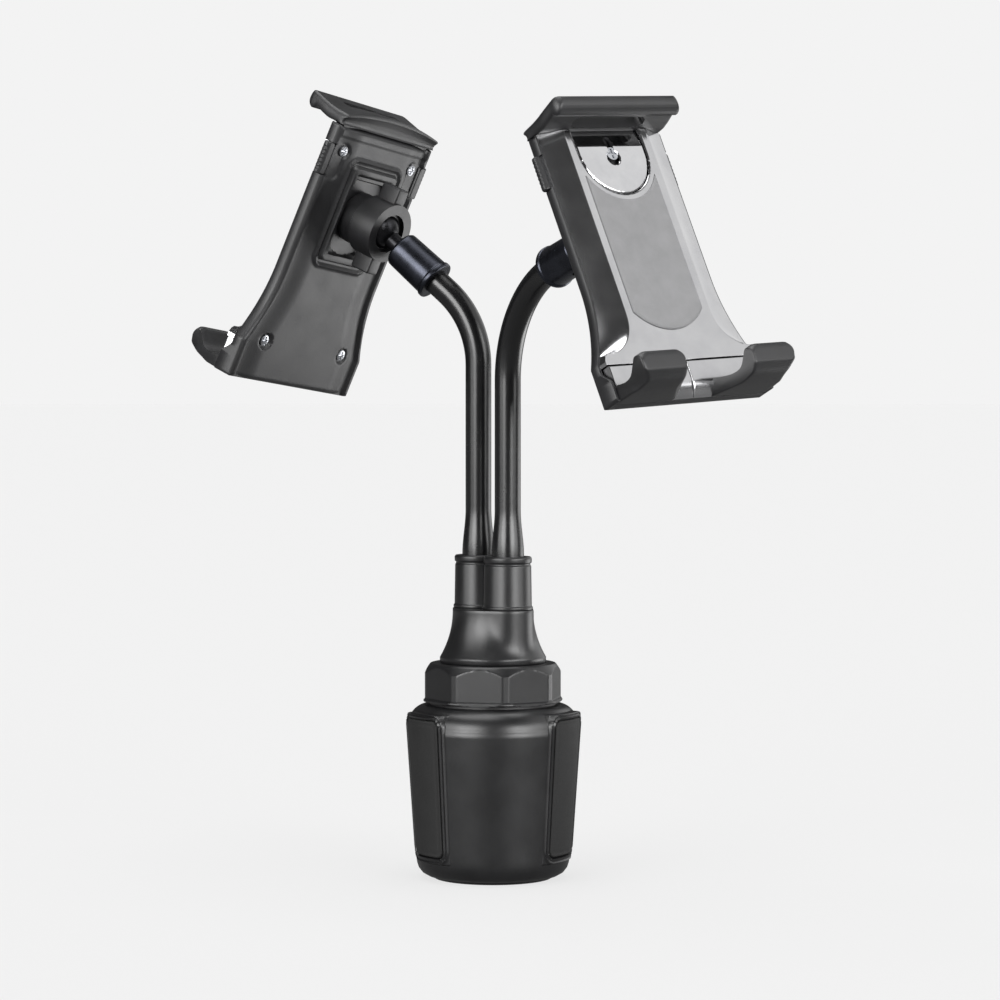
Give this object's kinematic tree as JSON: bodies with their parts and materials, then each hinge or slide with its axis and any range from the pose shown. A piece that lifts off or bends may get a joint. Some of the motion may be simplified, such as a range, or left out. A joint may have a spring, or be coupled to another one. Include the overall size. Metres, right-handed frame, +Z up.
{
  "type": "cup-holder phone and tablet mount",
  "caption": "Phone and tablet mount: an expanding cup-holder base with a turn-knob carries bendable necks, each with a ball-jointed clamping cradle.",
  "frame": {"origin": "centre of the base's underside", "axes": "+Z up along the base's axis; -Y is the side from which the right cradle shows its face; +X to the right of that view"},
  "size_m": [0.2351, 0.2219, 0.3136],
  "materials": {
    "base_plastic": "satin black ABS",
    "black_plastic": "matt black ABS",
    "rubber": "matt black rubber",
    "sleeve_rubber": "glossy black rubber skin",
    "inner_plastic": "natural acetal",
    "steel": "zinc-plated",
    "collar_metal": "anodised blue-black, satin",
    "silver_plastic": "silver-painted gloss ABS",
    "tongue_plate": "bright silver plating on ABS",
    "grip_pad": "mid-grey silicone"
  },
  "bodies": {
    "root": {"cup_body": "base_plastic", "base_cap": "base_plastic", "body_screws": "steel", "jaw_spider": "inner_plastic", "post_screw": "steel", "knob_washer": "inner_plastic", "neck_cowl": "base_plastic", "ferrule_left": "base_plastic", "ferrule_right": "base_plastic", "left_sleeve_low": "sleeve_rubber", "left_core_low": "steel", "right_sleeve_low": "sleeve_rubber", "right_core_low": "steel"},
    "knob": {"knob": "base_plastic", "scroll_cam": "inner_plastic"},
    "jaw_1": {"jaw_1": "base_plastic", "pad_1": "rubber"},
    "jaw_2": {"jaw_2": "base_plastic", "pad_2": "rubber"},
    "jaw_3": {"jaw_3": "base_plastic", "pad_3": "rubber"},
    "left_neck": {"left_sleeve_high": "sleeve_rubber", "left_core_high": "steel", "left_collar": "collar_metal", "left_collar_screw": "steel", "left_ball_stud": "steel"},
    "left_swivel": {"left_ball_liner": "inner_plastic"},
    "left_tilt": {"left_ring_nut": "black_plastic"},
    "left_cradle": {"left_back_shell": "black_plastic", "left_shell_screws": "steel", "left_front_plate": "silver_plastic", "left_grip_pad": "grip_pad", "left_foot_a": "black_plastic", "left_foot_b": "black_plastic", "left_button_springs": "steel"},
    "left_clamp": {"left_hook": "black_plastic", "left_tongue": "tongue_plate", "left_tongue_screw": "steel"},
    "left_button_a": {"left_button_a": "black_plastic"},
    "left_button_b": {"left_button_b": "black_plastic"},
    "right_neck": {"right_sleeve_high": "sleeve_rubber", "right_core_high": "steel", "right_collar": "collar_metal", "right_collar_screw": "steel", "right_ball_stud": "steel"},
    "right_swivel": {"right_ball_liner": "inner_plastic"},
    "right_tilt": {"right_ring_nut": "black_plastic"},
    "right_cradle": {"right_back_shell": "black_plastic", "right_shell_screws": "steel", "right_front_plate": "silver_plastic", "right_grip_pad": "grip_pad", "right_foot_a": "black_plastic", "right_foot_b": "black_plastic", "right_button_springs": "steel"},
    "right_clamp": {"right_hook": "black_plastic", "right_tongue": "tongue_plate", "right_tongue_screw": "steel"},
    "right_button_a": {"right_button_a": "black_plastic"},
    "right_button_b": {"right_button_b": "black_plastic"}
  },
  "joints": [
    {"name": "knob_turn", "type": "hinge", "parent": "root", "child": "knob", "pos_m": [0, 0, 0.075], "axis": [0, 0, 1], "range_deg": [0, 110]},
    {"name": "jaw_1_slide", "type": "slide", "parent": "root", "child": "jaw_1", "axis": [-0.8387, -0.5446, 0], "range_m": [0, 0.0112]},
    {"name": "jaw_2_slide", "type": "slide", "parent": "root", "child": "jaw_2", "axis": [0.891, -0.454, 0], "range_m": [0, 0.0112]},
    {"name": "jaw_3_slide", "type": "slide", "parent": "root", "child": "jaw_3", "axis": [-0.0523, 0.9986, 0], "range_m": [0, 0.0112]},
    {"name": "left_neck_bend", "type": "hinge", "parent": "root", "child": "left_neck", "pos_m": [-0.00581, 0.00771, 0.17], "axis": [-0.3746, -0.9272, 0], "range_deg": [-2, 25]},
    {"name": "left_ball_swivel", "type": "hinge", "parent": "left_neck", "child": "left_swivel", "pos_m": [-0.04582, 0.02387, 0.25868], "axis": [0.3756, -0.1376, 0.9165], "range_deg": [-2, 28]},
    {"name": "left_ball_tilt", "type": "hinge", "parent": "left_swivel", "child": "left_tilt", "pos_m": [-0.04582, 0.02387, 0.25868], "axis": [-0.5691, -0.8147, 0.1109], "range_deg": [-12, 6]},
    {"name": "left_cradle_spin", "type": "hinge", "parent": "left_tilt", "child": "left_cradle", "pos_m": [-0.04582, 0.02387, 0.25868], "axis": [-0.7315, 0.5633, 0.3843], "continuous": true},
    {"name": "left_clamp_slide", "type": "slide", "parent": "left_cradle", "child": "left_clamp", "axis": [0.3756, -0.1376, 0.9165], "range_m": [0, 0.045]},
    {"name": "left_button_a_press", "type": "slide", "parent": "left_cradle", "child": "left_button_a", "axis": [0.5691, 0.8147, -0.1109], "range_m": [0, 0.0015], "stiffness_N_per_m": 400, "springref_m": -0.001},
    {"name": "left_button_b_press", "type": "slide", "parent": "left_cradle", "child": "left_button_b", "axis": [-0.5691, -0.8147, 0.1109], "range_m": [0, 0.0015], "stiffness_N_per_m": 400, "springref_m": -0.001},
    {"name": "right_neck_bend", "type": "hinge", "parent": "root", "child": "right_neck", "pos_m": [0.00581, -0.00771, 0.17], "axis": [0.8453, 0.5344, 0], "range_deg": [-2, 25]},
    {"name": "right_ball_swivel", "type": "hinge", "parent": "right_neck", "child": "right_swivel", "pos_m": [0.04008, -0.06193, 0.25076], "axis": [-0.303, 0.2895, 0.908], "range_deg": [-15, 15]},
    {"name": "right_ball_tilt", "type": "hinge", "parent": "right_swivel", "child": "right_tilt", "pos_m": [0.04008, -0.06193, 0.25076], "axis": [0.7782, 0.6252, 0.0603], "range_deg": [-12, 24]},
    {"name": "right_cradle_spin", "type": "hinge", "parent": "right_tilt", "child": "right_cradle", "pos_m": [0.04008, -0.06193, 0.25076], "axis": [0.5502, -0.7248, 0.4147], "continuous": true},
    {"name": "right_clamp_slide", "type": "slide", "parent": "right_cradle", "child": "right_clamp", "axis": [-0.303, 0.2895, 0.908], "range_m": [0, 0.045]},
    {"name": "right_button_a_press", "type": "slide", "parent": "right_cradle", "child": "right_button_a", "axis": [-0.7782, -0.6252, -0.0603], "range_m": [0, 0.0015], "stiffness_N_per_m": 400, "springref_m": -0.001},
    {"name": "right_button_b_press", "type": "slide", "parent": "right_cradle", "child": "right_button_b", "axis": [0.7782, 0.6252, 0.0603], "range_m": [0, 0.0015], "stiffness_N_per_m": 400, "springref_m": -0.001}
  ],
  "couplings": [
    {"joint": "jaw_1_slide", "follows": "knob_turn", "m_per_rad": 0.0057296},
    {"joint": "jaw_2_slide", "follows": "knob_turn", "m_per_rad": 0.0057296},
    {"joint": "jaw_3_slide", "follows": "knob_turn", "m_per_rad": 0.0057296}
  ]
}
